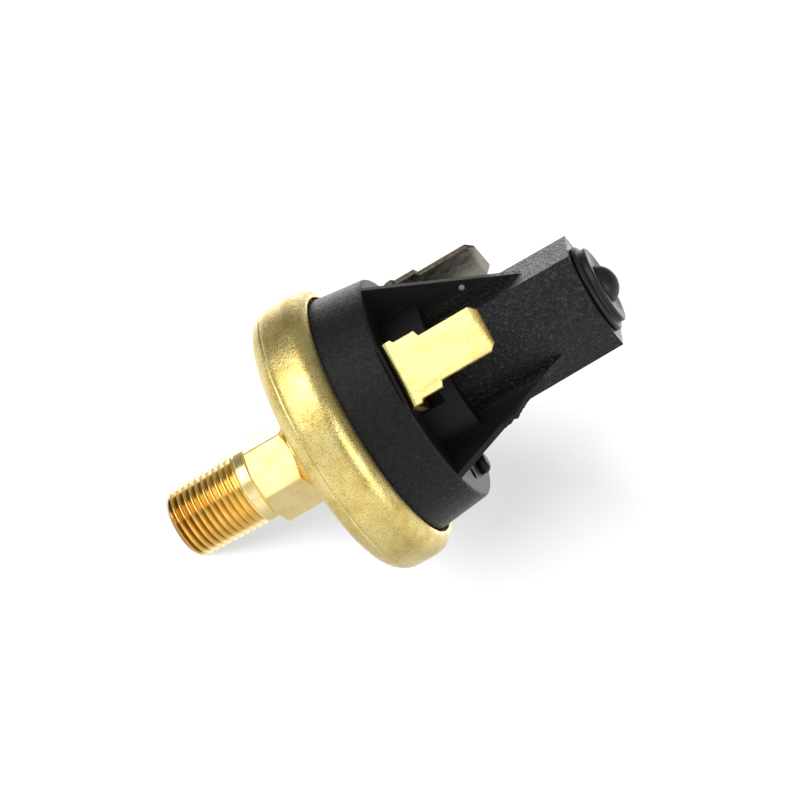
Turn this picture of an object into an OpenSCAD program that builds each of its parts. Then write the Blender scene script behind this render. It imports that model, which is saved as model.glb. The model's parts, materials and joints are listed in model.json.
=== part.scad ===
// Adjustable diaphragm pressure switch with a threaded pressure port.
// The pressure port points down: z = 0 is the end of the thread, and the switch's axis is Z.
// Pressure in the port lifts the diaphragm and the piston, and the contact disc on the
// piston bridges the two fixed contacts. The screw in the tower sets the spring's preload.

/* [Pressure port] */
// Radius over the crests of the pipe thread
thread_r = 5.05; // [4.8:0.05:5.2]
// Distance from one thread crest to the next
thread_pitch = 0.9407; // [0.9:0.0001:1]
// Number of thread grooves
thread_turns = 10; // [8:1:11]
// Height at which the hexagon starts
hex_z = 12.65; // [12:0.05:13.5]
// Height of the hexagon
hex_h = 6.3; // [5:0.1:7]
// Size of the hexagon across its flats
hex_af = 11.11; // [10.8:0.01:11.6]
// Radius of the pressure passage
port_bore_r = 1.6; // [1.2:0.1:2]

/* [Cup] */
// Outer radius of the crimped cup
cup_r = 19.4; // [19.3:0.1:20.5]
// Height of the cup's underside
cup_z = 21.9; // [21:0.1:22.1]
// Height of the top of the crimped lip
lip_z = 30.3; // [30:0.1:30.6]
// Thickness of the cup's sheet
cup_t = 0.8; // [0.6:0.05:0.8]
// Radius of the opening in the crimped lip
lip_r = 17.2; // [17.1:0.1:17.5]

/* [Plastic body] */
// Radius of the base at the crimped lip
base_r = 16.8; // [16.6:0.05:16.9]
// Radius of the base at its rim
rim_r = 16; // [15.8:0.05:16.5]
// Height of the base's rim
rim_z = 37.4; // [37:0.1:37.8]
// Radius of the raised hub at the foot of the tower
hub_r = 11; // [10.6:0.1:11.8]
// Height of the top of the hub
hub_z = 42.6; // [41:0.1:44]
// Size of the tower across its flats at its foot
tower_foot_af = 14.3; // [14:0.1:15]
// Size of the tower across its flats at its top
tower_top_af = 13.8; // [13.6:0.1:14]
// Height of the top of the tower
tower_z = 62.3; // [62.3:0.1:64]
// Thickness of a rib
rib_t = 1.1; // [0.9:0.1:1.4]
// Radius at which a rib's sloping edge meets the base
rib_foot_r = 15.6; // [15:0.1:15.8]
// Height at which a rib's sloping edge meets the tower
rib_top_z = 55.6; // [50:0.1:60]

/* [Terminals] */
// Width of the blade
blade_w = 6.35; // [6.2:0.05:6.4]
// Thickness of the blade and its foot
blade_t = 0.8; // [0.7:0.05:0.8]
// Distance from the axis to the blade's outer face
blade_r = 15.2; // [14.6:0.1:15.3]
// Height of the blade's tip
blade_z = 50.5; // [50:0.1:53]
// Width of the blade's shoulders
shoulder_w = 8; // [7.5:0.1:8.3]
// Height of the top of the shoulders
shoulder_z = 42.2; // [41.5:0.1:44]
// Width of the foot
foot_w = 8.9; // [8.2:0.1:9]

/* [Adjustment] */
// Pitch of the adjusting screw
screw_pitch = 0.5; // [0.35:0.05:0.75]
// Radius of the adjusting screw
screw_r = 3; // [2.5:0.1:3.2]
// Radius of the bore that holds the range spring
spring_bore_r = 4.6; // [4.4:0.1:4.8]

/* [Hidden] */
$fn = 64;
eps = 0.01;
run_gap = 0.06;                     // radial gap of a sliding fit
fit_gap = 0.02;                     // radial gap of a push fit

// Directions around the axis: three positions for terminals, three ribs between them.
front_az = -90;
rear_az = 150;
blank_az = 30;
rib_azimuths = [-30, 90, 210];

brass = [0.85, 0.68, 0.30];
dull_brass = [0.66, 0.56, 0.25];
pale_brass = [0.93, 0.85, 0.55];
black = [0.07, 0.07, 0.07];
steel = [0.62, 0.63, 0.65];
silver = [0.86, 0.86, 0.84];
tan_insulator = [0.55, 0.40, 0.24];

// Port fitting
thread_start = 0.75;                // first crest, above the entry chamfer
groove_depth = 0.62;
crest_w = 0.12;
flange_r = 6.3;
stub_r = 4;
stake_r = 5.5;
stake_h = 0.7;

// Stack in the cup, from the floor up
floor_z = cup_z + 1;
seal_r = 1.05;                      // radius of the sealing ring's section
seal_pitch_r = 15.8;
dia_z = floor_z + 2 * seal_r;       // underside of the diaphragm
dia_t = 0.3;
dia_r = 18.1;
ring_z = dia_z + dia_t;
ring_t = 1.2;
ring_in_r = 12.5;
ring_out_r = 18.4;
body_z = ring_z + ring_t;           // underside of the plastic body
flange_out_r = cup_r - cup_t - 0.1;

// Moving stack on the diaphragm
travel = 0.8;
piston_r = 11;
pedestal_r = 4.5;
pedestal_z = 31.2;
stem_r = 2;
bush_flange_h = 0.8;
bush_r = 3;
disc_z = pedestal_z + bush_flange_h;
disc_t = 0.5;
disc_r = 11;
washer_h = 0.4;
lower_seat_z = disc_z + disc_t + washer_h;
seat_t = 0.9;
seat_r = 4.3;
spring_z = lower_seat_z + seat_t;   // lower end of the range spring
contact_r = 9.2;                    // distance from the axis to each contact
tip_r = 1.7;
tip_h = 0.6;
contact_gap = travel + 0.05;

// Room in the body
cavity_r = 13;
ceiling_z = 35.2;
insert_z = 53;
insert_h = 6.5;
mouth_r = 4.8;
fixed_z = disc_z + disc_t + tip_h + contact_gap;

// Adjustment stack in the tower
spring_top_z = 50.3;
spring_out_r = 4.2;
spring_in_r = 3.1;
upper_seat_h = 1.2;
screw_z = spring_top_z + upper_seat_h;
screw_l = 7;

// Plug in the unused terminal position, and the round mark that an ejector pin leaves beside it
blank_plug_r = 12.8;
blank_cap_r = 1.5;
blank_cap_h = 1.2;
// The hub is cut back to this height in that quadrant, to leave room for the plug
hub_step_z = rim_z + 1.2;
pin_mark_az = 2;
pin_mark_place_r = 12.7;
pin_mark_r = 0.8;
pin_mark_depth = 0.25;

// Rivets that hold the terminals' feet, and the plug in the tower's mouth
rivet_r = 1.1;
rivet_head_r = 1.9;
rivet_head_h = 0.8;
plug_disc_r = 6;
plug_step_r = 5.25;
plug_dome_r = 2.85;
plug_dome_z = tower_z + 0.45;

// A ring or tube about Z
module tube(r_in, r_out, z, h) {
    translate([0, 0, z])
        difference() {
            cylinder(r = r_out, h = h);
            translate([0, 0, -1]) cylinder(r = r_in, h = h + 2);
        }
}

module at_azimuth(az) rotate([0, 0, az]) children();

// ---- Port fitting: pipe thread, neck, hexagon, flange and the stub staked in the cup ----
function crest_z(i) = thread_start + i * thread_pitch;
thread_end = crest_z(thread_turns);

// Outline of the turned part below the hexagon: crest flats with V grooves between them
function thread_outline() = concat(
    [[0, 0], [thread_r - groove_depth, 0], [thread_r, thread_start - crest_w / 2]],
    [for (i = [0:thread_turns - 1]) each [
        [thread_r, crest_z(i) + crest_w / 2],
        [thread_r - groove_depth, crest_z(i) + thread_pitch / 2],
        [thread_r, crest_z(i + 1) - crest_w / 2]]],
    [[thread_r, hex_z + eps], [0, hex_z + eps]]);

module port_hexagon() {
    corner_r = hex_af / 2 / cos(30);
    chamfer_h = (corner_r - hex_af / 2) * 0.75;
    translate([0, 0, hex_z])
        intersection() {
            cylinder(r = corner_r, h = hex_h, $fn = 6);
            rotate_extrude()
                polygon([[0, 0], [hex_af / 2, 0], [corner_r, chamfer_h],
                         [corner_r, hex_h - chamfer_h], [hex_af / 2, hex_h], [0, hex_h]]);
        }
}

module port_fitting() color(brass)
    difference() {
        union() {
            rotate_extrude() polygon(thread_outline());
            port_hexagon();
            translate([0, 0, hex_z + hex_h - eps])
                cylinder(r = flange_r - 1, h = 1 + eps);
            translate([0, 0, hex_z + hex_h + 1 - eps])
                cylinder(r = flange_r, h = cup_z - hex_z - hex_h - 1 + eps);
            translate([0, 0, cup_z - eps])
                cylinder(r = stub_r, h = floor_z - cup_z + 2 * eps);
            translate([0, 0, floor_z])
                cylinder(r = stake_r, h = stake_h);
        }
        translate([0, 0, -1])
            cylinder(r = port_bore_r, h = floor_z + stake_h + 2);
        translate([0, 0, -eps])
            cylinder(r1 = port_bore_r + 0.6, r2 = port_bore_r, h = 0.6);
    }

// ---- Cup: spun sheet, its lip crimped over the body's flange ----
// An arc of points about a centre, for an outline
function arc(c, r, a0, a1, n) =
    [for (i = [0:n]) c + r * [cos(a0 + (a1 - a0) * i / n), sin(a0 + (a1 - a0) * i / n)]];

module cup_outline() {
    bottom_r = 2.7;
    crimp_r = 1.9;
    inner_bottom_r = bottom_r - 0.9;
    inner_crimp_r = crimp_r - cup_t;
    lip_under = lip_z - cup_t;
    difference() {
        polygon(concat(
            [[stub_r + fit_gap, cup_z], [cup_r - bottom_r, cup_z]],
            arc([cup_r - bottom_r, cup_z + bottom_r], bottom_r, -84, -6, 9),
            [[cup_r, cup_z + bottom_r], [cup_r, lip_z - crimp_r]],
            arc([cup_r - crimp_r, lip_z - crimp_r], crimp_r, 6, 84, 7),
            [[cup_r - crimp_r, lip_z], [lip_r + 0.2, lip_z], [lip_r, lip_z - 0.2],
             [lip_r, lip_under], [stub_r + fit_gap, lip_under]]));
        polygon(concat(
            [[0, floor_z], [cup_r - bottom_r, floor_z]],
            arc([cup_r - bottom_r, cup_z + bottom_r], inner_bottom_r, -84, -6, 7),
            [[cup_r - cup_t, cup_z + bottom_r], [cup_r - cup_t, lip_under - inner_crimp_r]],
            [[cup_r - crimp_r + 0.4, lip_under], [lip_r - 1, lip_under], [lip_r - 1, lip_z],
             [0, lip_z]]));
    }
}

module crimped_cup() color(dull_brass) rotate_extrude() cup_outline();

// ---- Sealing ring, diaphragm and the ring that clamps it ----
module sealing_ring() color(black)
    rotate_extrude()
        translate([seal_pitch_r, floor_z + seal_r]) circle(r = seal_r);

module diaphragm() color(tan_insulator)
    translate([0, 0, dia_z]) cylinder(r = dia_r, h = dia_t);

module clamp_ring() color(steel) tube(ring_in_r, ring_out_r, ring_z, ring_t);

module guide_plate() color(tan_insulator)
    tube(pedestal_r + run_gap, cavity_r - fit_gap, body_z + travel + 0.1, 1);

// ---- Piston and what rides on it ----
module piston() color(steel)
    union() {
        translate([0, 0, ring_z]) cylinder(r = piston_r, h = ring_t);
        translate([0, 0, body_z - eps]) cylinder(r = pedestal_r, h = pedestal_z - body_z + eps);
        translate([0, 0, pedestal_z - eps])
            cylinder(r = stem_r, h = lower_seat_z + 0.6 - pedestal_z + eps);
    }

module insulating_bush() color(tan_insulator)
    union() {
        tube(stem_r, pedestal_r, pedestal_z, bush_flange_h);
        tube(stem_r, bush_r, disc_z - eps, disc_t + washer_h + eps);
    }

module contact_disc() color(pale_brass) tube(bush_r, disc_r, disc_z, disc_t);

module contact_tips() color(silver)
    for (az = [front_az, rear_az])
        at_azimuth(az) translate([contact_r, 0, disc_z + disc_t])
            cylinder(r = tip_r, h = tip_h);

module spring_washer() color(steel) tube(bush_r, bush_r + 1.5, disc_z + disc_t, washer_h);

module lower_spring_seat() color(brass)
    difference() {
        union() {
            translate([0, 0, lower_seat_z]) cylinder(r = seat_r, h = seat_t);
            translate([0, 0, spring_z - eps]) cylinder(r = spring_in_r - 0.3, h = 1 + eps);
        }
        translate([0, 0, lower_seat_z - 1]) cylinder(r = stem_r, h = 1.6);
    }

// The outer shape of the coil, from the lower seat to the upper one
module range_spring() color(steel)
    tube(spring_in_r, spring_out_r, spring_z, spring_top_z - spring_z);

// ---- Adjustment: seat, slotted screw and the insert it turns in ----
module upper_spring_seat() color(brass)
    union() {
        translate([0, 0, spring_top_z]) cylinder(r = seat_r, h = upper_seat_h);
        translate([0, 0, spring_top_z - 1]) cylinder(r = spring_in_r - 0.3, h = 1 + eps);
    }

module adjusting_screw() color(brass)
    translate([0, 0, screw_z])
        difference() {
            rotate_extrude()
                polygon([[0, 0], [screw_r - 0.5, 0], [screw_r, 0.5], [screw_r, screw_l - 0.4],
                         [screw_r - 0.4, screw_l], [0, screw_l]]);
            translate([-screw_r - 1, -0.5, screw_l - 1.3]) cube([2 * screw_r + 2, 1, 2]);
        }

module threaded_insert() color(brass)
    difference() {
        tube(screw_r + run_gap, mouth_r, insert_z, insert_h);
        tube(mouth_r - 0.3, mouth_r + 1, insert_z + insert_h / 2 - 0.5, 1);
    }

// ---- Plastic body: flange, base, hub, hexagonal tower and three ribs in one moulding ----
module base_outline() {
    rim_round = 0.6;
    polygon(concat(
        [[0, body_z], [flange_out_r, body_z], [flange_out_r, lip_z - cup_t - 1.2],
         [flange_out_r - 1.2, lip_z - cup_t], [base_r + 0.2, lip_z - cup_t], [base_r, lip_z]],
        [[rim_r, rim_z - rim_round]],
        arc([rim_r - rim_round, rim_z - rim_round], rim_round, 15, 75, 4),
        [[rim_r - rim_round, rim_z], [0, rim_z]]));
}

// Recess in the base and hub for a terminal's foot and its rivet
module foot_recess() {
    recess_w = foot_w + 0.6;
    foot_in_r = contact_r - 2.6;
    translate([blade_r + 0.1, -recess_w / 2, rim_z - 0.5])
        cube([rim_r, recess_w, 1]);
    translate([foot_in_r, -recess_w / 2, rim_z])
        cube([rim_r, recess_w, rivet_head_h + blade_t + 1.6]);
    translate([contact_r, 0, ceiling_z - 1])
        cylinder(r = rivet_r, h = rim_z - ceiling_z + 2);
}

module rib() {
    tower_in = tower_top_af / 2 - 1;
    rotate([90, 0, 0])
        linear_extrude(height = rib_t, center = true)
            polygon([[tower_in, rim_z - 1], [rib_foot_r, rim_z - 1], [rib_foot_r, rim_z],
                     [tower_top_af / 2 + 0.1, rib_top_z], [tower_in, rib_top_z]]);
}

// The hub under the tower, cut back in the quadrant of the blanking plug
module hub()
    difference() {
        translate([0, 0, rim_z - eps]) cylinder(r = hub_r, h = hub_z - rim_z + eps);
        at_azimuth(blank_az) translate([tower_foot_af / 2 + 0.1, -hub_r, hub_step_z])
            cube([hub_r, 2 * hub_r, hub_z]);
    }

module switch_body() color(black)
    difference() {
        union() {
            rotate_extrude() base_outline();
            hub();
            translate([0, 0, rim_z - 1])
                cylinder(r1 = tower_foot_af / 2 / cos(30), r2 = tower_top_af / 2 / cos(30),
                         h = tower_z - rim_z + 1, $fn = 6);
            for (az = rib_azimuths) at_azimuth(az) rib();
        }
        translate([0, 0, body_z - 1]) cylinder(r = cavity_r, h = ceiling_z - body_z + 1);
        translate([0, 0, ceiling_z - 1]) cylinder(r = spring_bore_r, h = insert_z - ceiling_z + 1);
        translate([0, 0, insert_z]) cylinder(r = mouth_r, h = tower_z);
        for (az = [front_az, rear_az]) at_azimuth(az) foot_recess();
        at_azimuth(blank_az) translate([blank_plug_r, 0, ceiling_z - 1])
            cylinder(r = rivet_r, h = rim_z);
        at_azimuth(pin_mark_az) translate([pin_mark_place_r, 0, rim_z - pin_mark_depth])
            cylinder(r = pin_mark_r, h = 1);
    }

// ---- Terminals: stamped blade with shoulders, bent inwards at its foot ----
module blade_outline() {
    tip_cut = 0.9;
    bend_z = rim_z + 1.6;
    polygon([[-foot_w / 2, rim_z - 1], [foot_w / 2, rim_z - 1], [foot_w / 2, bend_z],
             [shoulder_w / 2, bend_z + 0.3], [shoulder_w / 2, shoulder_z],
             [blade_w / 2, shoulder_z + 0.3], [blade_w / 2, blade_z - tip_cut],
             [blade_w / 2 - tip_cut, blade_z], [-blade_w / 2 + tip_cut, blade_z],
             [-blade_w / 2, blade_z - tip_cut], [-blade_w / 2, shoulder_z + 0.3],
             [-shoulder_w / 2, shoulder_z], [-shoulder_w / 2, bend_z + 0.3],
             [-foot_w / 2, bend_z]]);
}

// Side view of the stamping: the foot along the base, a bend, and the blade with a bevelled tip
module blade_section() {
    foot_in = contact_r - 2.4;
    bend_r = 1.1;
    bevel = 0.25;
    polygon(concat(
        [[foot_in, rim_z], [blade_r - bend_r, rim_z]],
        arc([blade_r - bend_r, rim_z + bend_r], bend_r, -75, -15, 4),
        [[blade_r, rim_z + bend_r], [blade_r, blade_z - 1], [blade_r - bevel, blade_z],
         [blade_r - blade_t + bevel, blade_z], [blade_r - blade_t, blade_z - 1],
         [blade_r - blade_t, rim_z + bend_r]],
        arc([blade_r - bend_r, rim_z + bend_r], bend_r - blade_t, -15, -75, 2),
        [[blade_r - bend_r, rim_z + blade_t], [foot_in, rim_z + blade_t]]));
}

module terminal(az) color(pale_brass)
    at_azimuth(az)
        difference() {
            intersection() {
                rotate([90, 0, 90]) linear_extrude(height = blade_r + 1) blade_outline();
                rotate([90, 0, 0]) linear_extrude(height = foot_w + 2, center = true) blade_section();
            }
            translate([contact_r, 0, rim_z - 1]) cylinder(r = rivet_r, h = blade_t + 2);
        }

module front_terminal() terminal(front_az);
module rear_terminal() terminal(rear_az);

module terminal_rivets() color(brass)
    for (az = [front_az, rear_az])
        at_azimuth(az) translate([contact_r, 0, 0]) {
            translate([0, 0, ceiling_z]) cylinder(r = rivet_r, h = rim_z + blade_t - ceiling_z + eps);
            translate([0, 0, rim_z + blade_t])
                rotate_extrude()
                    polygon([[0, 0], [rivet_head_r, 0], [rivet_head_r - 0.15, 0.45],
                             [rivet_head_r - 0.7, rivet_head_h], [0, rivet_head_h]]);
        }

module fixed_contacts() color(silver)
    for (az = [front_az, rear_az])
        at_azimuth(az) translate([contact_r, 0, fixed_z])
            cylinder(r = tip_r, h = ceiling_z - fixed_z);

// Moulded plug in the third, unused terminal position
module blanking_plug() color(black)
    at_azimuth(blank_az) translate([blank_plug_r, 0, 0]) {
        translate([0, 0, ceiling_z + 0.2]) cylinder(r = rivet_r, h = rim_z - ceiling_z);
        translate([0, 0, rim_z])
            rotate_extrude()
                polygon([[0, 0], [blank_cap_r, 0], [blank_cap_r, blank_cap_h - 0.5],
                         [blank_cap_r - 0.5, blank_cap_h], [0, blank_cap_h]]);
    }

// ---- Rubber plug: dome, two discs and a skirt in the tower's mouth ----
module rubber_plug() color(black)
    difference() {
        union() {
            rotate_extrude()
                polygon([[0, tower_z], [plug_disc_r - 0.15, tower_z], [plug_disc_r, tower_z + 0.2],
                         [plug_disc_r - 0.1, tower_z + 0.8], [plug_step_r, tower_z + 0.85],
                         [plug_step_r - 0.1, tower_z + 1.5], [plug_step_r - 0.4, tower_z + 1.7],
                         [0, tower_z + 1.7]]);
            translate([0, 0, plug_dome_z])
                intersection() {
                    sphere(r = plug_dome_r);
                    translate([-plug_dome_r, -plug_dome_r, 0.5]) cube(2 * plug_dome_r);
                }
            translate([0, 0, tower_z - 2.6]) cylinder(r = mouth_r - 0.05, h = 2.6 + eps);
        }
        translate([0, 0, tower_z - 3]) cylinder(r = mouth_r - 1.4, h = 3);
    }

port_fitting();
crimped_cup();
sealing_ring();
diaphragm();
clamp_ring();
guide_plate();
piston();
insulating_bush();
contact_disc();
contact_tips();
spring_washer();
lower_spring_seat();
range_spring();
upper_spring_seat();
adjusting_screw();
threaded_insert();
switch_body();
front_terminal();
rear_terminal();
terminal_rivets();
fixed_contacts();
blanking_plug();
rubber_plug();
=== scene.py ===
"""Looks of an adjustable diaphragm pressure switch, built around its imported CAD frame.

The frame's +Z is the switch's axis, from the pressure port (z = 0) to the rubber plug.
Lengths of geometry are in millimetres, and MM turns them into Blender's metres. Lengths in
materials and lights are in metres.
"""

import json
import math
import random

import bmesh
import bpy
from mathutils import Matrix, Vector, noise


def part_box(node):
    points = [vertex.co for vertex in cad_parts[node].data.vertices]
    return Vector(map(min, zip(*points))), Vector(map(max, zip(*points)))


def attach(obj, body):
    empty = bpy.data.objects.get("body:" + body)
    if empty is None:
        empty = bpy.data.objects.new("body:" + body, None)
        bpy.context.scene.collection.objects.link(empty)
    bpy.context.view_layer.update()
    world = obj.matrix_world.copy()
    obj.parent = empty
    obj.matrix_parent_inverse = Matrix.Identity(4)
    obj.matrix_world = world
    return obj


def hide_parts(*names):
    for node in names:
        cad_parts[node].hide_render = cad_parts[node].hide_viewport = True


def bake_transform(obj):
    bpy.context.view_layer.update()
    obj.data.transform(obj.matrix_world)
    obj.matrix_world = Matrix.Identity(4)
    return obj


MM = 0.001

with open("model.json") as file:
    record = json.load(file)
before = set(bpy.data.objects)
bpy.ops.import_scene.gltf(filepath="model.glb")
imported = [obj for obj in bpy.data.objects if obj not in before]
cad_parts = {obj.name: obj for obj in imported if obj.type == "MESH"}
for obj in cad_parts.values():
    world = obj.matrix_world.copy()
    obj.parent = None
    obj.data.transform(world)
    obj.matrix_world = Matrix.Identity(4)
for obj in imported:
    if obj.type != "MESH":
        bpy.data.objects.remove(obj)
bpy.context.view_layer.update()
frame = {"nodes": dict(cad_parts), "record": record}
nodes = frame["nodes"]

# Directions of the terminals and ribs round the axis, in degrees
FRONT_AZ = -90
REAR_AZ = 150
FLASH_RIB_AZ = -30
PIN_RIB_AZ = 210


def box_mm(node):
    """Lowest and highest corner of a CAD node, in millimetres."""
    low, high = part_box(node)
    return low / MM, high / MM


CUP_LOW, CUP_HIGH = box_mm("crimped_cup")
PORT_TOP = box_mm("port_fitting")[1].z
BODY_TOP = box_mm("switch_body")[1].z
PLUG_LOW, PLUG_HIGH = box_mm("rubber_plug")
SPRING_LOW, SPRING_HIGH = box_mm("range_spring")


# ---------------------------------------------------------------- camera

CAMERA_AZ = 11.0        # degrees from -Y towards +X
CAMERA_EL = 12.0        # degrees above the horizontal
CAMERA_ROLL = 30.0      # angle of the switch's axis above the picture's right
CAMERA_DISTANCE = 395.3
TARGET_Z = 33.0
LENS = 138.5
SENSOR_WIDTH = 36
SHIFT = (0.0028, 0.0039)
NEAREST = 0.01          # clipping distances, in metres
FARTHEST = 20


def camera_axes():
    """The picture's right, its up and the direction towards the camera, in the row frame."""
    az = math.radians(CAMERA_AZ - 90)
    el = math.radians(CAMERA_EL)
    roll = math.radians(CAMERA_ROLL)
    back = Vector((math.cos(el) * math.cos(az), math.cos(el) * math.sin(az), math.sin(el)))
    level_right = Vector((-math.sin(az), math.cos(az), 0))
    level_up = back.cross(level_right)
    right = math.cos(roll) * level_up + math.sin(roll) * level_right
    up = math.sin(roll) * level_up - math.cos(roll) * level_right
    return right, up, back


RIGHT, UP, BACK = camera_axes()
TARGET = Vector((0, 0, TARGET_Z)) * MM


def add_camera():
    """Camera aimed at the switch's axis and rolled, so that the switch lies slanting in view."""
    camera = bpy.data.objects.new("camera", bpy.data.cameras.new("camera"))
    bpy.context.scene.collection.objects.link(camera)
    camera.data.lens = LENS
    camera.data.sensor_width = SENSOR_WIDTH
    camera.data.shift_x, camera.data.shift_y = SHIFT
    camera.data.clip_start = NEAREST
    camera.data.clip_end = FARTHEST
    matrix = camera.matrix_world.to_3x3()
    matrix.col[0], matrix.col[1], matrix.col[2] = RIGHT, UP, BACK
    camera.matrix_world = matrix.to_4x4()
    camera.location = TARGET + BACK * CAMERA_DISTANCE * MM
    bpy.context.scene.camera = camera


# ---------------------------------------------------------------- materials

def colour_sockets(sockets):
    return [socket for socket in sockets if socket.type == "RGBA"]


class Shader:
    """A node material with one Principled BSDF and short helpers to build on it."""

    def __init__(self, name):
        self.material = bpy.data.materials.new(name)
        self.material.use_nodes = True
        self.tree = self.material.node_tree
        self.bsdf = self.tree.nodes["Principled BSDF"]
        self.place = self.tree.nodes.new("ShaderNodeTexCoord").outputs["Object"]

    def node(self, kind, **values):
        made = self.tree.nodes.new(kind)
        for key, value in values.items():
            setattr(made, key, value)
        return made

    def link(self, source, target):
        self.tree.links.new(source, target)

    def set(self, **values):
        for key, value in values.items():
            self.bsdf.inputs[key.replace("_", " ")].default_value = value

    def stretched(self, scale):
        """Object coordinates, in metres, scaled per axis."""
        mapping = self.node("ShaderNodeMapping")
        mapping.inputs["Scale"].default_value = scale
        self.link(self.place, mapping.inputs["Vector"])
        return mapping.outputs["Vector"]

    def noise(self, scale, detail=3.0, rough=0.55, place=None):
        made = self.node("ShaderNodeTexNoise")
        made.inputs["Scale"].default_value = scale
        made.inputs["Detail"].default_value = detail
        made.inputs["Roughness"].default_value = rough
        self.link(place or self.place, made.inputs["Vector"])
        return made.outputs["Fac"]

    def ramp(self, fac, *stops):
        """Colours by position; a stop is (position, colour)."""
        made = self.node("ShaderNodeValToRGB")
        elements = made.color_ramp.elements
        while len(elements) < len(stops):
            elements.new(0.5)
        for element, (position, colour) in zip(elements, stops):
            element.position = position
            element.color = (*colour, 1)
        self.link(fac, made.inputs["Fac"])
        return made.outputs["Color"]

    def span(self, fac, low, high, start=0.3, end=0.7):
        """fac's stretch from start to end, mapped to low and high."""
        made = self.node("ShaderNodeMapRange")
        for key, value in (("From Min", start), ("From Max", end), ("To Min", low), ("To Max", high)):
            made.inputs[key].default_value = value
        self.link(fac, made.inputs["Value"])
        return made.outputs["Result"]

    def multiply(self, colour, tint, share=1.0):
        """colour multiplied by tint, to the given share."""
        made = self.node("ShaderNodeMix", data_type="RGBA", blend_type="MULTIPLY")
        made.inputs["Factor"].default_value = share
        for source, target in zip((colour, tint), colour_sockets(made.inputs)):
            self.link(source, target)
        return colour_sockets(made.outputs)[0]

    def bump(self, *layers):
        """Bump layers, each (height socket, depth in metres)."""
        normal = None
        for height, depth in layers:
            made = self.node("ShaderNodeBump")
            made.inputs["Distance"].default_value = depth
            made.inputs["Strength"].default_value = 1.0
            self.link(height, made.inputs["Height"])
            if normal:
                self.link(normal, made.inputs["Normal"])
            normal = made.outputs["Normal"]
        self.link(normal, self.bsdf.inputs["Normal"])

    def colour(self, socket):
        self.link(socket, self.bsdf.inputs["Base Color"])

    def roughness(self, socket):
        self.link(socket, self.bsdf.inputs["Roughness"])


# Where looks change on a piece, in metres: distances from the axis, and heights on a blade
# the thread-root zone bounds the painted shade in the thread's roots
THREAD_ROOT_ZONE = (0.00415, 0.00478)
BASE_SIDE_ZONE = (0.0155, 0.0158)
TOWER_ZONE = (0.0086, 0.0090)
# the blade-tip zone bounds the painted shade at the front blade's tip
BLADE_TIP_ZONE = (0.0498, 0.0504)


def axis_distance(s):
    """Distance from the switch's axis, in metres."""
    flat = s.node("ShaderNodeVectorMath", operation="MULTIPLY")
    flat.inputs[1].default_value = (1, 1, 0)
    s.link(s.place, flat.inputs[0])
    distance = s.node("ShaderNodeVectorMath", operation="LENGTH")
    s.link(flat.outputs["Vector"], distance.inputs[0])
    return distance.outputs["Value"]


def machined_brass():
    """Bright turned brass: rings left by the tool, a little tarnish, and painted shade that darkens the
    thread roots and the bore.
    """
    s = Shader("machined_brass")
    s.set(Metallic=1.0)
    tool_rings = s.noise(1.0, detail=4.0, rough=0.7, place=s.stretched((60, 60, 9000)))
    tarnish = s.noise(420, detail=4.0)
    metal = s.ramp(tarnish,
                   (0.3, (0.93, 0.68, 0.26)),
                   (0.5, (0.97, 0.78, 0.36)),
                   (0.75, (1.0, 0.84, 0.46)))
    # painted shade: nearer the axis, the thread's roots, the entry chamfer and the bore are painted darker
    # and browner
    root = s.span(axis_distance(s), 0, 1, *THREAD_ROOT_ZONE)
    root_shade = s.ramp(root,
                    (0.08, (0.32, 0.17, 0.03)),
                    (0.42, (0.82, 0.62, 0.28)),
                    (0.68, (1.0, 1.0, 1.0)))
    s.colour(s.multiply(metal, root_shade))
    s.roughness(s.span(tool_rings, low=0.15, high=0.27))
    s.bump((tool_rings, 0.000006), (s.noise(3500, detail=2.0), 0.000005))
    return s.material


def satin_brass():
    """Tumbled sheet brass: olive patches, fine grain and small dents."""
    s = Shader("satin_brass")
    s.set(Metallic=1.0)
    patches = s.noise(230, detail=5.0, rough=0.6)
    grain = s.noise(4200, detail=3.0, rough=0.8)
    broad = s.ramp(patches,
                   (0.34, (0.70, 0.53, 0.17)),
                   (0.5, (0.87, 0.70, 0.26)),
                   (0.64, (0.94, 0.80, 0.35)))
    speckle = s.ramp(grain,
                     (0.36, (0.52, 0.46, 0.34)),
                     (0.48, (0.90, 0.88, 0.84)),
                     (0.6, (1.0, 1.0, 1.0)))
    s.colour(s.multiply(broad, speckle, 0.8))
    s.roughness(s.span(grain, low=0.20, high=0.30))
    s.bump((grain, 0.00004), (s.noise(650, detail=3.0), 0.00004))
    return s.material


def terminal_brass():
    """Rolled face of the stamped front blade, with painted shade that browns it towards its tip."""
    s = Shader("terminal_brass")
    s.set(Metallic=1.0)
    rolled = s.noise(1.0, detail=4.0, rough=0.65, place=s.stretched((900, 900, 260)))
    specks = s.noise(5200, detail=2.0, rough=0.6)
    metal = s.ramp(rolled,
                   (0.3, (0.88, 0.72, 0.25)),
                   (0.5, (0.94, 0.81, 0.31)),
                   (0.75, (0.96, 0.86, 0.40)))
    parts = s.node("ShaderNodeSeparateXYZ")
    s.link(s.place, parts.inputs["Vector"])
    # painted shade: the face is painted browner and darker over its last half millimetre or so towards the
    # tip
    tip = s.span(parts.outputs["Z"], 0, 1, *BLADE_TIP_ZONE)
    tint = s.ramp(tip, (0.2, (1.0, 1.0, 1.0)), (0.9, (0.66, 0.40, 0.24)))
    s.colour(s.multiply(metal, tint))
    s.roughness(s.span(specks, low=0.22, high=0.28))
    s.bump((specks, 0.000004), (s.noise(500, detail=3.0), 0.00004))
    return s.material


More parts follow.
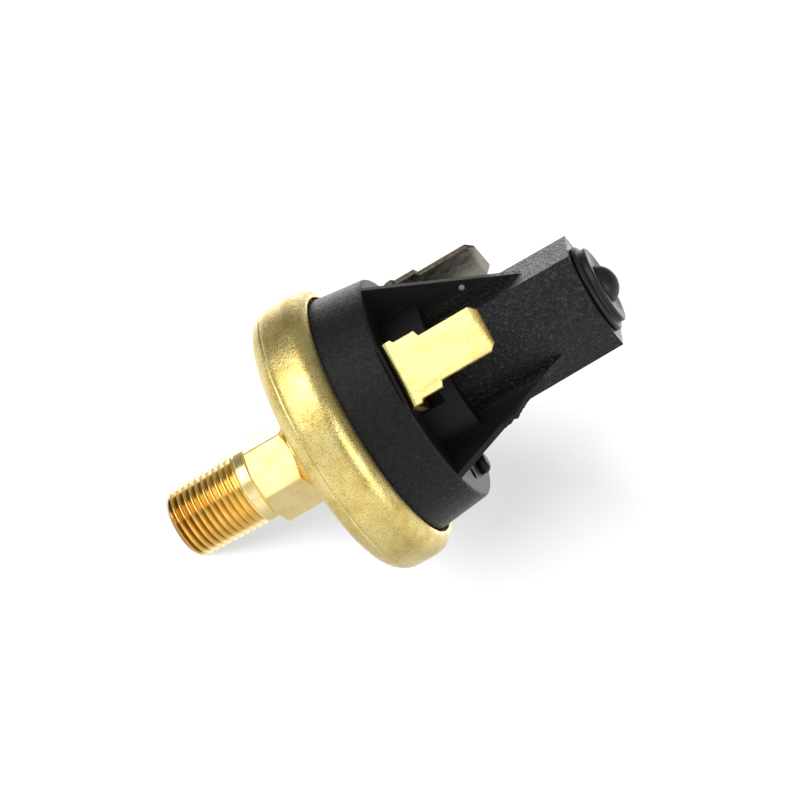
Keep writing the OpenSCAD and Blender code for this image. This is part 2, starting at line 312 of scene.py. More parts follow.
def sheared_brass():
    """Cut edges of the blades: browner and rougher than the face."""
    s = Shader("sheared_brass")
    s.set(Metallic=1.0)
    tear = s.noise(1.0, detail=5.0, rough=0.7, place=s.stretched((5200, 5200, 1600)))
    s.colour(s.ramp(tear,
                    (0.3, (0.36, 0.21, 0.06)),
                    (0.5, (0.62, 0.42, 0.15)),
                    (0.75, (0.88, 0.68, 0.34))))
    s.roughness(s.span(tear, low=0.30, high=0.55))
    s.bump((tear, 0.00005))
    return s.material


def textured_zone(s):
    """1 on the tower, a little less on the base's side, 0 between them, by distance from the axis."""
    distance = axis_distance(s)
    outer = s.span(distance, 0, 0.86, *BASE_SIDE_ZONE)
    inner = s.span(distance, 1, 0, *TOWER_ZONE)
    both = s.node("ShaderNodeMath", operation="MAXIMUM")
    s.link(outer, both.inputs[0])
    s.link(inner, both.inputs[1])
    return both.outputs["Value"]


def black_plastic():
    """Moulded black plastic, spark-textured on the tower and the base's side."""
    s = Shader("black_plastic")
    zone = textured_zone(s)
    spark = s.noise(2400, detail=3.0, rough=0.68)
    textured = s.node("ShaderNodeMath", operation="MULTIPLY")
    s.link(spark, textured.inputs[0])
    s.link(zone, textured.inputs[1])
    grains = textured.outputs["Value"]
    s.colour(s.ramp(grains,
                    (0.30, (0.0030, 0.0030, 0.0033)),
                    (0.42, (0.006, 0.006, 0.006)),
                    (0.56, (0.012, 0.012, 0.012)),
                    (0.70, (0.040, 0.040, 0.042))))
    s.roughness(s.span(grains, low=0.46, high=0.16))
    s.bump((grains, 0.00016), (s.noise(1500, detail=3.0), 0.00002))
    s.set(Specular_IOR_Level=0.19)
    return s.material


def rubber():
    """Smooth black rubber with a soft sheen and a little dust."""
    s = Shader("rubber")
    dust = s.noise(1500, detail=4.0, rough=0.7)
    s.colour(s.ramp(dust, (0.5, (0.004, 0.004, 0.004)), (0.8, (0.012, 0.012, 0.012))))
    s.roughness(s.span(dust, low=0.36, high=0.5))
    s.bump((s.noise(2200, detail=2.0), 0.00001))
    s.set(Specular_IOR_Level=0.4)
    return s.material


def pin_mark_highlight():
    """Light grey spot on the dot that an ejector pin left: a painted highlight."""
    s = Shader("pin_mark_highlight")
    spots = s.noise(6000, detail=2.0)
    # painted highlight: the dot is painted light grey with lighter specks, unlike the black plastic round
    # it
    s.colour(s.ramp(spots, (0.35, (0.08, 0.08, 0.08)), (0.65, (0.22, 0.22, 0.22))))
    s.set(Roughness=0.4)
    s.bump((spots, 0.00002))
    return s.material


def plain_metal(name, dark, light, low, high, scale=(900, 900, 900)):
    """Plain metal in two tones, brushed along the mapped direction."""
    s = Shader(name)
    s.set(Metallic=1.0)
    brushed = s.noise(1.0, detail=4.0, rough=0.65, place=s.stretched(scale))
    s.colour(s.ramp(brushed, (0.3, dark), (0.7, light)))
    s.roughness(s.span(brushed, low, high))
    s.bump((brushed, 0.000006))
    return s.material


def laminate(name, dark, light):
    """Paper laminate or film: layered, with faint fibres."""
    s = Shader(name)
    fibres = s.noise(1.0, detail=5.0, rough=0.7, place=s.stretched((2500, 700, 4000)))
    s.colour(s.ramp(fibres, (0.3, dark), (0.7, light)))
    s.roughness(s.span(fibres, low=0.45, high=0.65))
    s.bump((fibres, 0.00001))
    return s.material


MATERIALS = {
    "machined_brass": machined_brass(),
    "satin_brass": satin_brass(),
    "terminal_brass": terminal_brass(),
    "black_plastic": black_plastic(),
    "rubber": rubber(),
    "contact_brass": plain_metal("contact_brass", (0.70, 0.50, 0.22), (0.90, 0.72, 0.38), 0.2, 0.35),
    "contact_silver": plain_metal("contact_silver", (0.70, 0.70, 0.68), (0.90, 0.90, 0.88), 0.15, 0.3),
    "steel": plain_metal("steel", (0.45, 0.46, 0.48), (0.66, 0.67, 0.69), 0.25, 0.4),
    "spring_steel": plain_metal("spring_steel", (0.34, 0.35, 0.37), (0.56, 0.57, 0.60), 0.2, 0.35),
    "piston_metal": plain_metal("piston_metal", (0.62, 0.62, 0.64), (0.80, 0.80, 0.82), 0.2, 0.35,
                                (200, 200, 6000)),
    "insulator": laminate("insulator", (0.32, 0.19, 0.08), (0.52, 0.34, 0.17)),
    "diaphragm_film": laminate("diaphragm_film", (0.45, 0.22, 0.05), (0.62, 0.34, 0.10)),
}
SHEARED = sheared_brass()
# Rear blade's face and cut edges: copies of the front blade's brass, made darker and greyer by painted
# shade, and also rougher
SHADED_REAR_BLADE = plain_metal("shaded_rear_blade", (0.30, 0.28, 0.22), (0.55, 0.52, 0.44), 0.22, 0.42, (900, 900, 500))
SHADED_REAR_EDGE = plain_metal("shaded_rear_edge", (0.10, 0.085, 0.06), (0.26, 0.22, 0.15), 0.4, 0.6, (3200, 3200, 1600))
PIN_MARK = pin_mark_highlight()


def paint(piece, material):
    piece.data.materials.clear()
    piece.data.materials.append(material)


# ---------------------------------------------------------------- mesh helpers

SHARP = math.radians(32)            # edges sharper than this stay sharp
SOFT_SHARP = math.radians(50)       # for rolled, turned and ragged pieces
THREAD_SHARP = math.radians(28)
WIRE_SHARP = math.radians(60)
CAD_MERGE = 2e-6                    # joins the points that a CAD mesh repeats, in metres
CAD_FLAT = math.radians(0.4)        # CAD faces closer in angle than this become one
BEVEL_MERGE = 1e-6                  # joins the points that a bevel leaves together, in metres


def add_mesh(name, vertices, faces, sharp=SHARP, merge=0.0):
    """A smooth-shaded object, vertices in millimetres, with edges over the angle kept sharp.

    Points closer than merge millimetres become one.
    """
    mesh = bpy.data.meshes.new(name)
    mesh.from_pydata([Vector(v) * MM for v in vertices], [], faces)
    if merge:
        bm = bmesh.new()
        bm.from_mesh(mesh)
        bmesh.ops.remove_doubles(bm, verts=bm.verts, dist=merge * MM)
        bm.to_mesh(mesh)
        bm.free()
    mesh.validate()
    piece = bpy.data.objects.new(name, mesh)
    bpy.context.scene.collection.objects.link(piece)
    finish_shading(piece, sharp)
    return piece


def finish_shading(piece, sharp=SHARP):
    """Faces turned outwards and smooth, with edges over the angle kept sharp."""
    bm = bmesh.new()
    bm.from_mesh(piece.data)
    bmesh.ops.recalc_face_normals(bm, faces=bm.faces)
    bm.to_mesh(piece.data)
    bm.free()
    for polygon in piece.data.polygons:
        polygon.use_smooth = True
    piece.data.set_sharp_from_angle(angle=sharp)


def ring_solid(name, rings, segments, sharp=SHARP):
    """A closed ring of rings round Z. Each ring is a function of the angle that gives (r, z)."""
    vertices = []
    for ring in rings:
        for i in range(segments):
            angle = 2 * math.pi * i / segments
            r, z = ring(angle)
            vertices.append((r * math.cos(angle), r * math.sin(angle), z))
    faces = []
    count = len(rings)
    for k in range(count):
        for i in range(segments):
            j = (i + 1) % segments
            a, b = k * segments, (k + 1) % count * segments
            faces.append((a + i, a + j, b + j, b + i))
    return add_mesh(name, vertices, faces, sharp)


def arc(centre, radius, start, end, steps):
    """Points of an arc, in degrees, as (r, z)."""
    points = []
    for i in range(steps + 1):
        angle = math.radians(start + (end - start) * i / steps)
        points.append((centre[0] + radius * math.cos(angle), centre[1] + radius * math.sin(angle)))
    return points


def turned(name, outline, segments, sharp):
    """An outline of (r, z) turned round Z. It starts and ends on the axis, where the solid closes."""
    bm = bmesh.new()
    rings = []
    for r, z in outline:
        if r == 0:
            rings.append([bm.verts.new((0, 0, z * MM))] * segments)
            continue
        rings.append([bm.verts.new((r * math.cos(a) * MM, r * math.sin(a) * MM, z * MM))
                      for a in (2 * math.pi * i / segments for i in range(segments))])
    for lower, upper in zip(rings, rings[1:]):
        for i in range(segments):
            j = (i + 1) % segments
            corners = list(dict.fromkeys((lower[i], lower[j], upper[j], upper[i])))
            bm.faces.new(corners)
    mesh = bpy.data.meshes.new(name)
    bm.to_mesh(mesh)
    bm.free()
    piece = bpy.data.objects.new(name, mesh)
    bpy.context.scene.collection.objects.link(piece)
    finish_shading(piece, sharp)
    return piece


def merge_close(mesh, distance):
    """Join points closer than distance, in metres, and drop the faces that this flattens."""
    bm = bmesh.new()
    bm.from_mesh(mesh)
    bmesh.ops.remove_doubles(bm, verts=bm.verts, dist=distance)
    bmesh.ops.dissolve_degenerate(bm, dist=distance, edges=bm.edges)
    bm.to_mesh(mesh)
    bm.free()


def apply_modifiers(piece):
    """Replace the piece's mesh by what its modifiers make of it."""
    depsgraph = bpy.context.evaluated_depsgraph_get()
    made = bpy.data.meshes.new_from_object(piece.evaluated_get(depsgraph))
    piece.modifiers.clear()
    piece.data = made


def rounded_copy(node, name, width, segments=2, angle=35, clamp=True):
    """A copy of a CAD node with its sharp edges rounded, width in millimetres."""
    mesh = nodes[node].data.copy()
    mesh.name = name
    bm = bmesh.new()
    bm.from_mesh(mesh)
    bmesh.ops.remove_doubles(bm, verts=bm.verts, dist=CAD_MERGE)
    bmesh.ops.dissolve_limit(bm, angle_limit=CAD_FLAT, verts=bm.verts, edges=bm.edges)
    bmesh.ops.recalc_face_normals(bm, faces=bm.faces)
    bm.to_mesh(mesh)
    bm.free()
    piece = bpy.data.objects.new(name, mesh)
    bpy.context.scene.collection.objects.link(piece)
    bevel = piece.modifiers.new("round", "BEVEL")
    bevel.limit_method = "ANGLE"
    bevel.angle_limit = math.radians(angle)
    bevel.width = width * MM
    bevel.segments = segments
    bevel.use_clamp_overlap = clamp
    apply_modifiers(piece)
    merge_close(piece.data, BEVEL_MERGE)
    for polygon in piece.data.polygons:
        polygon.use_smooth = True
    normals = piece.modifiers.new("flat_faces", "WEIGHTED_NORMAL")
    normals.mode = "FACE_AREA"
    normals.weight = 100
    apply_modifiers(piece)
    return piece


def place_piece(piece, body, material, replaced=()):
    """Paint the piece, attach it to its body and hide the CAD nodes it stands for."""
    paint(piece, material)
    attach(piece, body)
    if replaced:
        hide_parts(*replaced)


# ---------------------------------------------------------------- port fitting

PITCH = 25.4 / 27
THREAD_START_R = 4.78       # crest radius at the open end
TAPER = 0.026               # growth of the radius with height
THREAD_DEPTH = 0.64
THREAD_END = 10.95
THREAD_FADE = 0.55          # height over which the last turn runs out
ENTRY_R = 3.85              # radius of the entry chamfer at the open end
ENTRY_SLOPE = 1.25          # growth of its radius with height
# One pitch of the thread's profile: (share of the pitch, share of the depth)
THREAD_PROFILE = ((0.0, 0.0), (0.05, 0.02), (0.16, 0.22), (0.30, 0.55), (0.43, 0.90), (0.465, 1.0),
                  (0.535, 1.0), (0.57, 0.90), (0.70, 0.55), (0.84, 0.22), (0.95, 0.02))
NECK_R = 5.12
NECK_GROOVE = 0.15          # depth of the groove under the hexagon
HEX_Z = 12.65
HEX_H = 6.3
HEX_AF = 11.11
HEX_EDGE = 1.0              # half width of a rounded corner of the hexagon, in degrees
HEX_INSET = 0.12            # how far inside the flats the chamfer starts
HEX_CHAMFER = 0.62          # height of the chamfer, as a share of the step from flat to corner
CHAMFER_STEPS = 14
COLLAR_R = 5.3              # collar between the hexagon and the flange
COLLAR_H = 1.0
FLANGE_R = 6.3
STUB_R = 4.0                # stub through the cup's hole
CUP_FLOOR = 1.0             # thickness of the cup's floor
STAKED_R = 5.5              # stub's end, spread over the cup's floor
FIT_GAP = 0.02              # clearance from the cup
BORE_R = 1.6
BORE_CHAMFER = 0.6
ANGLE_STEPS = 144
FITTING_MERGE = 0.0008      # joins the points where the thread's rows are cut off flat


def fitting_angles():
    """Even steps round the axis, with each corner of the hexagon split in two."""
    angles = []
    for step in range(ANGLE_STEPS):
        degrees = step * 360 / ANGLE_STEPS
        split = (-HEX_EDGE, HEX_EDGE) if degrees % 60 == 0 else (0,)
        angles += [math.radians(degrees + offset) for offset in split]
    return angles


def thread_point(angle, row):
    """Point of the thread: each row climbs one pitch per turn, so the crests follow the mesh."""
    turn, index = divmod(row, len(THREAD_PROFILE))
    share, height = THREAD_PROFILE[index]
    z = PITCH * (turn + share + angle / (2 * math.pi))
    z = min(max(z, 0.0), THREAD_END)
    fade = min((THREAD_END - z) / THREAD_FADE, 1)
    crest = THREAD_START_R + z * TAPER
    r = crest - THREAD_DEPTH * (1 - height) * fade
    return min(r, ENTRY_R + z * ENTRY_SLOPE), z


def hex_point(angle, z, limit):
    """Point of the hexagon, cut back to the radius that its chamfer gives."""
    sector = angle % (math.pi / 3) - math.pi / 6
    corner = HEX_AF / 2 / math.cos(math.pi / 6 - math.radians(HEX_EDGE))
    across = min(HEX_AF / 2 / math.cos(sector), corner)
    return min(across, limit), z


def hex_rings(angles):
    """Rings of the hexagon, chamfered at both ends."""
    corner = HEX_AF / 2 / math.cos(math.pi / 6)
    chamfer_h = (corner - HEX_AF / 2) * HEX_CHAMFER
    start = HEX_AF / 2 - HEX_INSET
    lower, upper = [], []
    for k in range(CHAMFER_STEPS + 1):
        limit = start + (corner - start) * k / CHAMFER_STEPS
        rise = chamfer_h * k / CHAMFER_STEPS
        lower.append([hex_point(a, HEX_Z + rise, limit) for a in angles])
        upper.append([hex_point(a, HEX_Z + HEX_H - rise, limit) for a in angles])
    return lower + upper[::-1]


def stub_outline():
    """Collar, flange, stub and staked end, as (r, z) from the hexagon up."""
    hex_top = HEX_Z + HEX_H
    flange_z = hex_top + COLLAR_H
    cup_z = CUP_LOW.z - FIT_GAP
    staked_z = CUP_LOW.z + CUP_FLOOR
    collar = [(COLLAR_R, hex_top), (COLLAR_R, flange_z - 0.1), (COLLAR_R + 0.15, flange_z)]
    flange = [(FLANGE_R - 0.15, flange_z), (FLANGE_R, flange_z + 0.15), (FLANGE_R, cup_z)]
    stub = [(STUB_R, cup_z), (STUB_R, staked_z)]
    staked = [(STAKED_R, staked_z), (STAKED_R - 0.1, PORT_TOP - 0.2), (STAKED_R - 0.4, PORT_TOP)]
    return collar + flange + stub + staked


def fitting_rings(angles):
    """Rings from the bore's inner end, round the thread and the hexagon, to the staked stub."""
    bore = [(BORE_R, PORT_TOP), (BORE_R, BORE_CHAMFER), (BORE_R + BORE_CHAMFER, 0.0)]
    groove_r = NECK_R - NECK_GROOVE
    neck = [(NECK_R, THREAD_END + 0.1), (NECK_R, HEX_Z - 0.3), (groove_r, HEX_Z - 0.12), (groove_r, HEX_Z)]
    rows_per_pitch = len(THREAD_PROFILE)
    last_row = (math.ceil(THREAD_END / PITCH) + 1) * rows_per_pitch
    rings = [[point] * len(angles) for point in bore]
    rings += [[thread_point(a, row) for a in angles] for row in range(-rows_per_pitch, last_row)]
    rings += [[point] * len(angles) for point in neck]
    rings += hex_rings(angles)
    rings += [[point] * len(angles) for point in stub_outline()]
    thread_rows = range(len(bore), len(bore) + last_row + rows_per_pitch)
    return rings, thread_rows


def build_fitting():
    """Turned brass fitting: chamfered bore, helical pipe thread, neck, hexagon and stub."""
    angles = fitting_angles()
    rings, thread_rows = fitting_rings(angles)
    count, rows_per_pitch = len(angles), len(THREAD_PROFILE)
    vertices = [(r * math.cos(a), r * math.sin(a), z)
                for ring in rings for a, (r, z) in zip(angles, ring)]

    def corner_index(ring, i):
        """Index of a point; past the last angle, a thread row goes on as the row one pitch up."""
        if i == count:
            i = 0
            if ring in thread_rows:
                ring = min(ring + rows_per_pitch, thread_rows[-1])
        return ring % len(rings) * count + i

    faces = []
    for ring in range(len(rings)):
        for i in range(count):
            faces.append((corner_index(ring, i), corner_index(ring, i + 1),
                          corner_index(ring + 1, i + 1), corner_index(ring + 1, i)))
    piece = add_mesh("threaded_fitting", vertices, faces, THREAD_SHARP, merge=FITTING_MERGE)
    place_piece(piece, "housing", MATERIALS["machined_brass"], ["port_fitting"])


# ---------------------------------------------------------------- cup

CUP_SHEET = 0.8
CUP_HOLE_R = STUB_R + FIT_GAP
LIP_R = 17.2
BOTTOM_CORNER = 3.3
CRIMP_R = 2.9               # radius of the roll from the side in to the lip
LIP_ROUND = 0.12
CREASE_DEPTH = 0.12
CREASE_POINT = -5           # the corner's point that the crease presses in
DENT_DEPTH = 0.05
DENT_SCALE = (3.1, 0.25)    # how fast the dents change round the cup and with height
CUP_SEGMENTS = 192


def cup_outline():
    """Outline of the cup's sheet, and how many of its points lie on the outer face."""
    cup_r, low, high = CUP_HIGH.x, CUP_LOW.z, CUP_HIGH.z
    outer = [(CUP_HOLE_R, low), (7.0, low), (cup_r - BOTTOM_CORNER, low)]
    outer += arc((cup_r - BOTTOM_CORNER, low + BOTTOM_CORNER), BOTTOM_CORNER, -84, -6, 26)
    crease_r, crease_z = outer[CREASE_POINT]
    outer[CREASE_POINT] = (crease_r - CREASE_DEPTH, crease_z)
    outer += [(cup_r, low + BOTTOM_CORNER)]
    lip_angle = math.degrees(math.acos(1 - (cup_r - LIP_R - LIP_ROUND) / CRIMP_R))
    roll_z = high - CRIMP_R * math.sin(math.radians(lip_angle))
    outer += arc((cup_r - CRIMP_R, roll_z), CRIMP_R, 0, lip_angle, 22)
    under = high - CUP_SHEET
    lip = [(LIP_R + 0.03, high - 0.06), (LIP_R, high - 0.2), (LIP_R, under)]
    inner = [(17.9, under), (cup_r - CUP_SHEET, under - 1.1), (cup_r - CUP_SHEET, low + BOTTOM_CORNER)]
    inner += arc((cup_r - BOTTOM_CORNER, low + BOTTOM_CORNER), BOTTOM_CORNER - 0.9, -6, -84, 10)
    inner += [(cup_r - BOTTOM_CORNER, low + CUP_FLOOR), (CUP_HOLE_R, low + CUP_FLOOR)]
    return outer + lip + inner, len(outer)


def build_cup():
    """Spun cup with a rolled lip, slightly uneven round the rim."""
    outline, outer_count = cup_outline()
    dented_r = CUP_HIGH.x - BOTTOM_CORNER
    around, along = DENT_SCALE

    def ring_at(index, r, z):
        dented = r > dented_r and index < outer_count

        def ring(angle):
            place = Vector((math.cos(angle) * around, math.sin(angle) * around, z * along))
            dent = min(noise.noise(place), 0) * DENT_DEPTH if dented else 0
            return r + dent, z
        return ring

    rings = [ring_at(i, r, z) for i, (r, z) in enumerate(outline)]
    piece = ring_solid("spun_cup", rings, CUP_SEGMENTS, SOFT_SHARP)
    place_piece(piece, "housing", MATERIALS["satin_brass"], ["crimped_cup"])


# ---------------------------------------------------------------- plastic body

RIM_Z = 37.4
RIB_FOOT_R = 15.6
RIB_TOP = (6.9, 55.6)       # (r, z) where a rib's edge meets the tower
RIB_T = 1.1
BODY_EDGE = 0.05            # roundings of the pieces copied from the CAD
BUTTON_EDGE = 0.25
BLADE_EDGE = 0.13
FLASH_START = 8.2           # along the rib's edge, from its foot
FLASH_LENGTH = 4.4
FLASH_STEPS = 22
FLASH_SINK = 0.12           # how far the flash reaches into the rib
FLASH_SEED = 7
PIN_MARK_OUT = 9.25         # distance of the mark's centre from the axis
PIN_MARK_Z = 48.35
PIN_MARK_R = 0.42
PIN_MARK_H = 0.2


def rib_frame(az):
    """Outward and sideways directions of a rib."""
    a = math.radians(az)
    return Vector((math.cos(a), math.sin(a), 0)), Vector((-math.sin(a), math.cos(a), 0))


def build_body():
    """Black moulding: base, hub, hexagonal tower and three ribs."""
    piece = rounded_copy("switch_body", "moulded_body", BODY_EDGE, clamp=False)
    place_piece(piece, "housing", MATERIALS["black_plastic"], ["switch_body"])


def build_rib_flash():
    """Ragged moulding flash left along part of one rib's sloping edge."""
    out, side = rib_frame(FLASH_RIB_AZ)
    slope = Vector((RIB_TOP[0] - RIB_FOOT_R, RIB_TOP[1] - RIM_Z)).normalized()
    normal = Vector((slope.y, -slope.x))
    start = Vector((RIB_FOOT_R, RIM_Z)) + slope * FLASH_START
    rng = random.Random(FLASH_SEED)
    vertices, faces = [], []
    for i in range(FLASH_STEPS + 1):
        share = i / FLASH_STEPS
        along = start + slope * FLASH_LENGTH * share
        bulge = max(0.0, math.sin(math.pi * share)) * (0.25 + 0.30 * abs(math.sin(share * 8.5)))
        height = bulge + rng.uniform(0, 0.16) * (0 < i < FLASH_STEPS)
        half = RIB_T * (0.46 - 0.16 * rng.random())
        for point, wide in ((along - normal * FLASH_SINK, RIB_T * 0.48), (along + normal * height, half)):
            for s in (-1, 1):
                vertices.append(out * point.x + side * wide * s + Vector((0, 0, point.y)))
    for i in range(FLASH_STEPS):
        a, b = 4 * i, 4 * i + 4
        faces += [(a, b, b + 2, a + 2), (a + 1, a + 3, b + 3, b + 1),
                  (a + 2, b + 2, b + 3, a + 3), (a, a + 1, b + 1, b)]
    last = 4 * FLASH_STEPS
    faces += [(0, 2, 3, 1), (last, last + 1, last + 3, last + 2)]
    piece = add_mesh("rib_flash", vertices, faces, SOFT_SHARP)
    place_piece(piece, "housing", MATERIALS["black_plastic"])


def build_pin_mark():
    """Small raised dot on the side of one rib."""
    out, side = rib_frame(PIN_RIB_AZ)
    centre = out * PIN_MARK_OUT + side * (RIB_T / 2 - 0.02) + Vector((0, 0, PIN_MARK_Z))
    up = Vector((0, 0, 1))
    rings, segments = 5, 20
    vertices = [centre + side * PIN_MARK_H]
    for k in range(1, rings + 1):
        angle = math.pi / 2 * k / rings
        for i in range(segments):
            turn = 2 * math.pi * i / segments
            offset = (out * math.cos(turn) + up * math.sin(turn)) * PIN_MARK_R * math.sin(angle)
            vertices.append(centre + offset + side * PIN_MARK_H * math.cos(angle))
    faces = [(0, 1 + i, 1 + (i + 1) % segments) for i in range(segments)]
    for k in range(rings - 1):
        a, b = 1 + k * segments, 1 + (k + 1) * segments
        faces += [(a + i, b + i, b + (i + 1) % segments, a + (i + 1) % segments) for i in range(segments)]
    last = 1 + (rings - 1) * segments
    faces.append(tuple(last + i for i in range(segments)))
    piece = add_mesh("rib_pin_mark", vertices, faces)
    place_piece(piece, "housing", PIN_MARK)


def build_blanking_plug():
    """Button in the unused terminal position."""
    piece = rounded_copy("blanking_plug", "blank_position_plug", BUTTON_EDGE, segments=3)
    place_piece(piece, "housing", MATERIALS["black_plastic"], ["blanking_plug"])


# ---------------------------------------------------------------- terminals

TIP_Z = 49.4                # faces above it that don't look outwards are cut edges
EDGE_FACING = 0.35          # a face turned this far sideways is a cut edge
FACE_FACING = 0.8


def build_terminal(node, name, az, face, edge):
    """Stamped blade: rolled faces, dull sheared edges."""
    piece = rounded_copy(node, name, BLADE_EDGE, angle=30)
    place_piece(piece, "housing", face, [node])
    piece.data.materials.append(edge)
    out, side = rib_frame(az)
    for polygon in piece.data.polygons:
        sideways = abs(polygon.normal.dot(side))
        at_tip = polygon.center.z / MM > TIP_Z and abs(polygon.normal.dot(out)) < FACE_FACING
        polygon.material_index = 1 if sideways > EDGE_FACING or at_tip else 0


# ---------------------------------------------------------------- plug and spring

DOME_R = 2.85
DISC_R = 5.8                # lower disc of the plug
UPPER_DISC_R = 5.22
DISC_EDGE = 0.3             # radius of both discs' rims
DISCS_H = 1.7               # height of the two discs over the tower's end
SKIRT_R = 4.75              # skirt inside the tower's mouth
SKIRT_HOLE_R = 3.4
PLUG_SEGMENTS = 96


def build_rubber_plug():
    """Domed plug: two soft discs, a dome and a skirt that grips the tower's mouth."""
    z = BODY_TOP
    foot = PLUG_LOW.z
    apex = PLUG_HIGH.z
    dome_z = apex - DOME_R
    top = z + DISCS_H
    outline = [(0, z - 0.02), (SKIRT_HOLE_R, z - 0.02), (SKIRT_HOLE_R, foot), (SKIRT_R - 0.15, foot),
               (SKIRT_R, foot + 0.2), (SKIRT_R, z), (DISC_R, z)]
    outline += arc((DISC_R - 0.1, z + DISC_EDGE), DISC_EDGE, -60, 60, 6)
    outline += [(DISC_R + 0.05, z + 0.62), (DISC_R - 0.25, z + 0.78), (DISC_R - 0.5, z + 0.80)]
    outline += [(UPPER_DISC_R, z + 0.9)]
    outline += arc((UPPER_DISC_R - 0.27, z + 1.35), DISC_EDGE, -20, 80, 6)
    outline += [(4.6, top), (4.1, top - 0.12), (3.2, top - 0.3), (2.9, top - 0.32), (2.6, top - 0.2)]
    start = math.degrees(math.asin((top - 0.1 - dome_z) / DOME_R))
    outline += arc((0, dome_z), DOME_R, max(start, 1), 88, 14)
    outline += [(0, apex)]
    piece = turned("domed_rubber_plug", outline, PLUG_SEGMENTS, SOFT_SHARP)
    place_piece(piece, "end_plug", MATERIALS["rubber"], ["rubber_plug"])


SPRING_TURNS = 6.5
SPRING_STEPS = 260
WIRE_SIDES = 12
SPRING_WIRE = 0.5           # radius of the wire
SPRING_CLEARANCE = 0.05     # inside the CAD node's radius
CLOSED_ENDS = 0.55          # how much the end coils lie closer together


def half_coil(name, first, last):
    """Part of the coil spring between two of its steps; its ends are closed coils."""
    low, high = SPRING_LOW.z, SPRING_HIGH.z
    coil_r = SPRING_HIGH.x - SPRING_WIRE - SPRING_CLEARANCE
    vertices, faces = [], []
    for i in range(first, last + 1):
        share = i / SPRING_STEPS
        lift = share - math.sin(2 * math.pi * share) / (2 * math.pi) * CLOSED_ENDS
        z = low + SPRING_WIRE + (high - low - 2 * SPRING_WIRE) * lift
        angle = 2 * math.pi * SPRING_TURNS * share
        out = Vector((math.cos(angle), math.sin(angle), 0))
        centre = out * coil_r + Vector((0, 0, z))
        for k in range(WIRE_SIDES):
            turn = 2 * math.pi * k / WIRE_SIDES
            vertices.append(centre + out * math.cos(turn) * SPRING_WIRE
                            + Vector((0, 0, math.sin(turn) * SPRING_WIRE)))
    for i in range(last - first):
        for k in range(WIRE_SIDES):
            a, b = i * WIRE_SIDES, (i + 1) * WIRE_SIDES
            faces.append((a + k, a + (k + 1) % WIRE_SIDES, b + (k + 1) % WIRE_SIDES, b + k))
    end = (last - first) * WIRE_SIDES
    faces += [tuple(range(WIRE_SIDES)), tuple(end + k for k in range(WIRE_SIDES))]
    return add_mesh(name, vertices, faces, WIRE_SHARP)


def build_spring():
    """Coil spring, built in two halves in place of the CAD spring."""
    middle = (0, 0, (SPRING_LOW.z + SPRING_HIGH.z) / 2 * MM)
    halves = (("coil_spring_lower", 0, "piston_group", "housing", (0, 0, SPRING_LOW.z * MM), middle),
              ("coil_spring_upper", SPRING_STEPS // 2, "housing", "spring_seat", middle,
               (0, 0, SPRING_HIGH.z * MM)))
    for name, first, body_below, body_above, start, end in halves:
        piece = half_coil(name, first, first + SPRING_STEPS // 2)
        paint(piece, MATERIALS["spring_steel"])
        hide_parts("range_spring")
        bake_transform(piece)


# ---------------------------------------------------------------- stage and light

FLOOR_SIZE = 8.0
FLOOR_DROP = 0.0001         # keeps the floor's face clear of the switch's end
FLOOR_GLOW = 0.43           # the floor's own light, which keeps the shadow pale
# Brightness of the surroundings, from behind and above the camera to beyond and below the switch
WORLD_LEVELS = ((0.0, 0.45), (0.2, 0.22), (0.3, 0.28), (0.4, 0.5), (0.55, 0.9), (0.75, 1.15), (0.95, 0.66))
WORLD_TILT = 0.6
SHADOW_STRENGTH = 22.0
SHADOW_SOFTNESS = math.radians(7)


def add_floor():
    """Pale floor that takes a soft shadow; it is left out of the metal's reflections."""
    bpy.ops.mesh.primitive_plane_add(size=FLOOR_SIZE, location=(0, 0, -FLOOR_DROP))
    floor = bpy.context.object
    floor.name = "floor"
    s = Shader("floor")
    s.colour(s.ramp(s.noise(3.0, detail=2.0), (0.3, (0.39, 0.39, 0.39)), (0.7, (0.4, 0.4, 0.4))))
    s.set(Roughness=0.9, Specular_IOR_Level=0.0, Emission_Color=(1, 1, 1, 1), Emission_Strength=FLOOR_GLOW)
    floor.data.materials.append(s.material)
    floor.visible_glossy = False
    floor.visible_shadow = False


def add_light(name, direction, distance, width, height, level):
    """A soft box that faces the middle of the switch; level is how bright its face looks."""
    light = bpy.data.objects.new(name, bpy.data.lights.new(name, "AREA"))
    light.data.shape = "RECTANGLE"
    light.data.size = width
    light.data.size_y = height
    light.data.energy = level * math.pi * width * height
    bpy.context.scene.collection.objects.link(light)
    direction = Vector(direction).normalized()
    light.location = TARGET + direction * distance
    light.rotation_euler = direction.to_track_quat("Z", "Y").to_euler()


def add_shadow_lamp(direction):
    """Lamp that lights only the floor, where the switch leaves a soft shadow."""
    lamp = bpy.data.objects.new("shadow_lamp", bpy.data.lights.new("shadow_lamp", "SUN"))
    lamp.data.energy = SHADOW_STRENGTH
    lamp.data.angle = SHADOW_SOFTNESS
    bpy.context.scene.collection.objects.link(lamp)
    lamp.rotation_euler = direction.to_track_quat("Z", "Y").to_euler()
    lit = bpy.data.collections.new("lit_by_shadow_lamp")
    lit.objects.link(bpy.data.objects["floor"])
    lamp.light_linking.receiver_collection = lit


def horizontal(degrees, rise):
    """Direction at an angle round the axis, with the given rise."""
    a = math.radians(degrees)
    return Vector((math.cos(a), math.sin(a), rise))


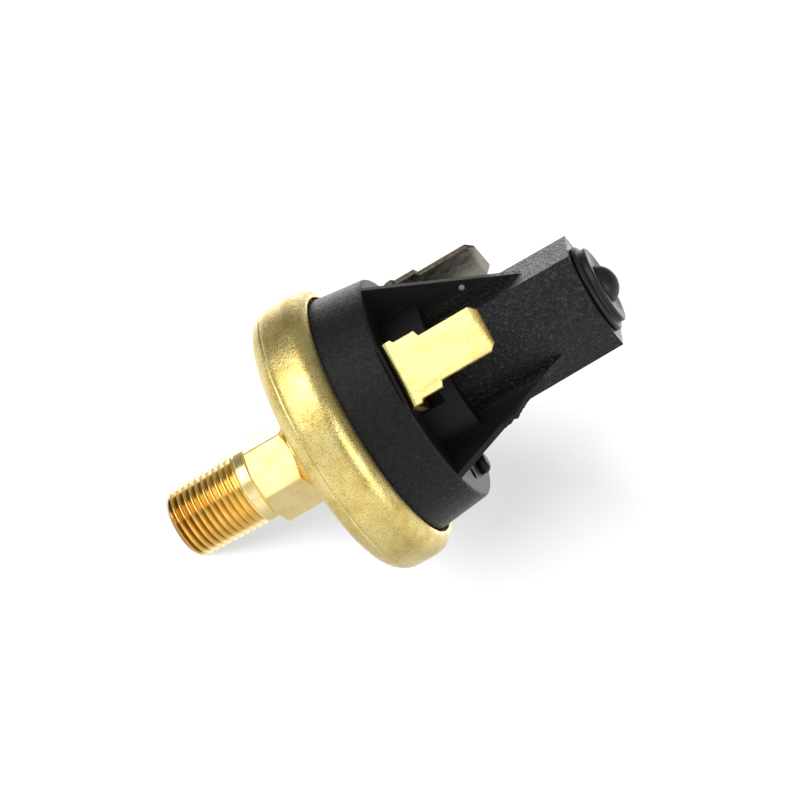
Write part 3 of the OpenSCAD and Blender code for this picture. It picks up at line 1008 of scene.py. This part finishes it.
def add_world():
    """Pale surroundings, whose brightness changes from one side of the switch to the other."""
    world = bpy.data.worlds.new("world")
    bpy.context.scene.world = world
    world.use_nodes = True
    tree = world.node_tree
    place = tree.nodes.new("ShaderNodeTexCoord")
    facing = tree.nodes.new("ShaderNodeVectorMath")
    facing.operation = "DOT_PRODUCT"
    facing.inputs[1].default_value = (-BACK * WORLD_TILT - UP).normalized()
    ramp = tree.nodes.new("ShaderNodeValToRGB")
    spread = tree.nodes.new("ShaderNodeMapRange")
    spread.inputs["From Min"].default_value = -1
    tree.links.new(place.outputs["Generated"], facing.inputs[0])
    tree.links.new(facing.outputs["Value"], spread.inputs["Value"])
    tree.links.new(spread.outputs["Result"], ramp.inputs["Fac"])
    elements = ramp.color_ramp.elements
    while len(elements) < len(WORLD_LEVELS):
        elements.new(0.5)
    for element, (position, level) in zip(elements, WORLD_LEVELS):
        element.position = position
        element.color = (level, level, level, 1)
    show_white_to_camera(tree, ramp.outputs["Color"])


def show_white_to_camera(tree, lighting):
    """The camera sees the surroundings white; everything else is lit by their levels."""
    shown = tree.nodes.new("ShaderNodeMix")
    shown.data_type = "RGBA"
    rays = tree.nodes.new("ShaderNodeLightPath")
    level, white = colour_sockets(shown.inputs)
    tree.links.new(rays.outputs["Is Camera Ray"], shown.inputs["Factor"])
    tree.links.new(lighting, level)
    white.default_value = (1, 1, 1, 1)
    background = tree.nodes["Background"]
    tree.links.new(colour_sockets(shown.outputs)[0], background.inputs["Color"])
    background.inputs["Strength"].default_value = 1.0


# Each box: name, direction, distance, width and height in metres, and level
SOFT_BOXES = (
    ("left_box", horizontal(-125, -0.1), 0.50, 0.42, 0.44, 2.5),
    ("side_box", horizontal(-76, -0.15), 0.50, 0.46, 0.34, 0.38),
    ("top_box", Vector((0.38, -0.56, 0.70)), 0.45, 0.36, 0.15, 4.2),
    ("back_box", horizontal(130, -0.1), 0.60, 0.25, 0.40, 1.8),
    ("rim_box", Vector((-BACK.x, -BACK.y, 0.24)), 0.60, 0.30, 0.16, 2.4),
)
SHADOW_DIRECTION = BACK - RIGHT * 0.11 + UP * 0.07


def add_lights():
    for box in SOFT_BOXES:
        add_light(*box)
    add_shadow_lamp(SHADOW_DIRECTION)
    bpy.context.scene.view_settings.view_transform = "Standard"


# ---------------------------------------------------------------- build

for node_name, node_object in nodes.items():
    slot_name = next(s["material_slot"] for s in frame["record"]["subparts"] if s["node"] == node_name)
    paint(node_object, MATERIALS[slot_name])

add_camera()
build_fitting()
build_cup()
build_body()
build_rib_flash()
build_pin_mark()
build_blanking_plug()
build_terminal("front_terminal", "front_blade_terminal", FRONT_AZ, MATERIALS["terminal_brass"], SHEARED)
build_terminal("rear_terminal", "rear_blade_terminal", REAR_AZ, SHADED_REAR_BLADE, SHADED_REAR_EDGE)
build_rubber_plug()
build_spring()
add_floor()
add_world()
add_lights()
